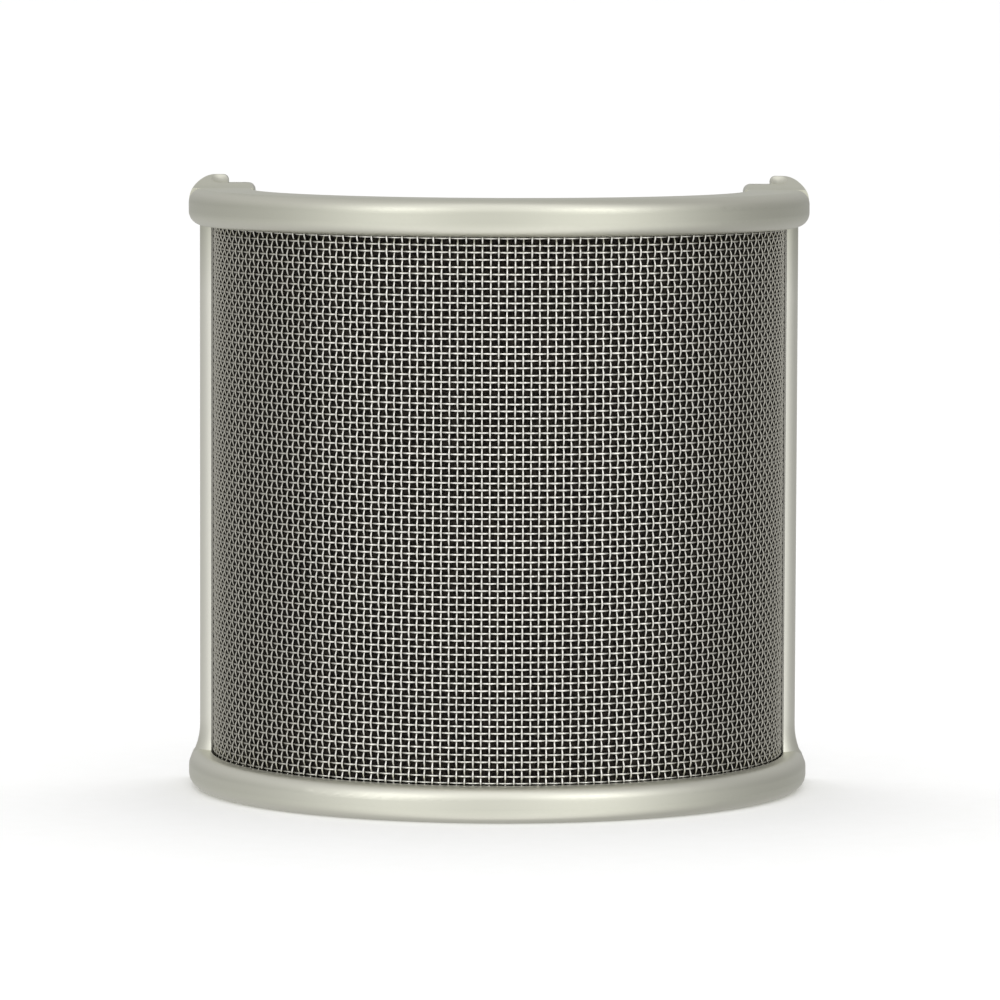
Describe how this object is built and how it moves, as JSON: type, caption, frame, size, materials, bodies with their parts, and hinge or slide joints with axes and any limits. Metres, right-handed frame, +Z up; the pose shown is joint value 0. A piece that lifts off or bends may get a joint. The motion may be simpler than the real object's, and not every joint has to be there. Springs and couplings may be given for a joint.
{
  "type": "microphone pop filter",
  "caption": "Half-round microphone pop filter: woven wire and foam screen in a cast frame of two rounded bars and two posts, with raised rear ends and grip pads.",
  "frame": {"origin": "middle of the object's box on the base plane, 20.5 mm in front of the microphone's axis", "axes": "+X to the right seen from the front, +Y from the rounded front to the open rear, +Z up the posts"},
  "size_m": [0.1, 0.059, 0.0986],
  "materials": {
    "frame": "satin nickel",
    "wire_cloth": "woven",
    "foam": "open-cell foam",
    "seal_rubber": "matte",
    "binding_steel": "black oxide",
    "pin_steel": "ground",
    "pad_rubber": "matte"
  },
  "bodies": {
    "root": {"upper_frame": "frame", "lower_frame": "frame", "outer_wire_cloth": "wire_cloth", "foam_layer": "foam", "inner_wire_cloth": "wire_cloth", "upper_groove_seal": "seal_rubber", "lower_groove_seal": "seal_rubber", "right_edge_binding": "binding_steel", "left_edge_binding": "binding_steel", "right_post_pin": "pin_steel", "left_post_pin": "pin_steel", "right_upper_grip_pad": "pad_rubber", "left_upper_grip_pad": "pad_rubber", "right_lower_grip_pad": "pad_rubber", "left_lower_grip_pad": "pad_rubber"}
  },
  "joints": []
}
